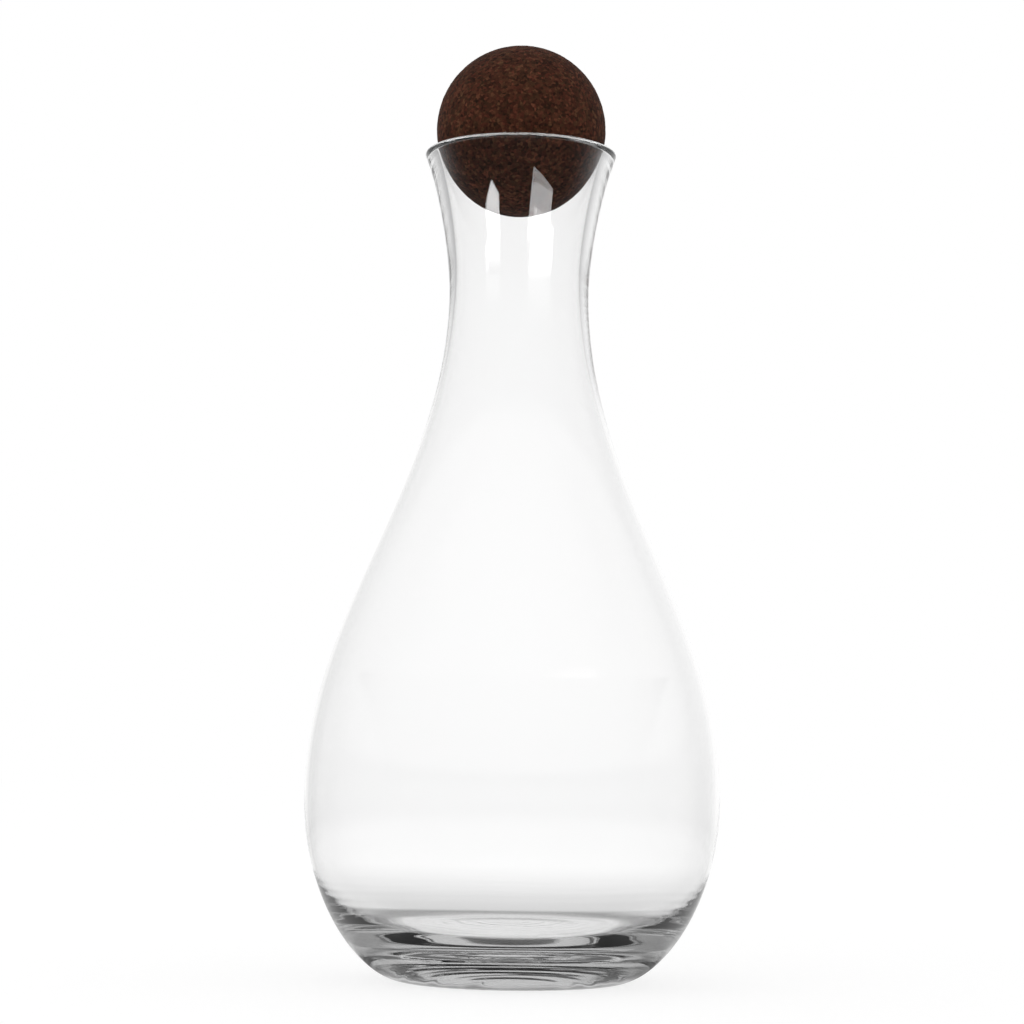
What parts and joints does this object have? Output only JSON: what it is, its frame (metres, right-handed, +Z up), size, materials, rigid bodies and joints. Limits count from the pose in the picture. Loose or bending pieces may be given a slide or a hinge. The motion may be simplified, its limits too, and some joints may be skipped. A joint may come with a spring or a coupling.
{
  "type": "wine carafe",
  "caption": "Pear-shaped carafe of clear blown glass with a thick base, narrow neck and flared mouth with a flat rim, closed by a loose ball stopper of dark cork.",
  "frame": {"origin": "centre of the underside, on the surface that the carafe stands on", "axes": "+Z up along the axis that the glass is turned about, out through the mouth; X and Y are any two level directions, because the part is round"},
  "size_m": [0.1442, 0.1442, 0.3292],
  "materials": {
    "clear_glass": "polished",
    "dark_cork": "matte"
  },
  "bodies": {
    "carafe": {"glass_carafe": "clear_glass"},
    "stopper": {"cork_ball_stopper": "dark_cork"}
  },
  "joints": [
    {"name": "stopper_lift", "type": "slide", "parent": "carafe", "child": "stopper", "axis": [0, 0, 1], "range_m": [0, 0.03]}
  ]
}
